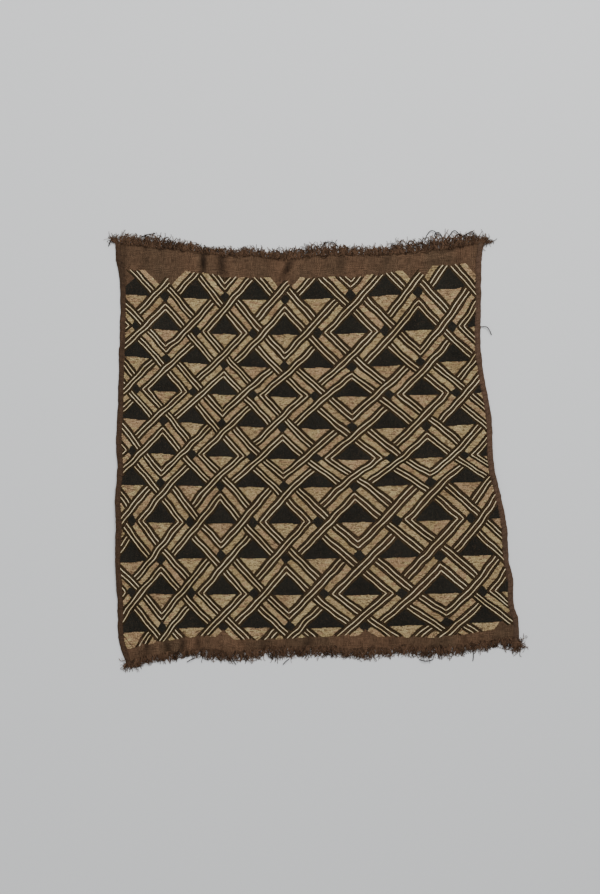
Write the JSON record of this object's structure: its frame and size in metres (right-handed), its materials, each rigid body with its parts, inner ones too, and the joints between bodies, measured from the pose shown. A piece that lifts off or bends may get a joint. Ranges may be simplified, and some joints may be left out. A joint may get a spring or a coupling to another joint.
{
  "type": "kuba raffia cloth",
  "caption": "Embroidered and cut-pile raffia panel with a diagonal interlace pattern, rolled side hems, bare woven end hems and a short raffia fringe at both ends, lying flat.",
  "frame": {"origin": "on the flat underside, at the middle of the panel", "axes": "+X to the right across the cloth seen from its face, +Y up the cloth from its bottom fringe to its top fringe, +Z out of its face"},
  "size_m": [0.613, 0.6629, 0.0066],
  "materials": {
    "raffia_cloth": "matt plain-woven raffia dyed brown",
    "raffia_fringe": "matt curly raffia strands dyed dark brown",
    "pile_black": "matt black raffia cut pile",
    "pile_tan": "soft tan raffia pile and stitches in rows",
    "line_dark": "dark brown raffia stem stitches",
    "line_cream": "undyed cream raffia stem stitches with a faint sheen"
  },
  "bodies": {
    "root": {"cloth": "raffia_cloth", "fringe_top": "raffia_fringe", "fringe_bottom": "raffia_fringe"}
  },
  "joints": []
}
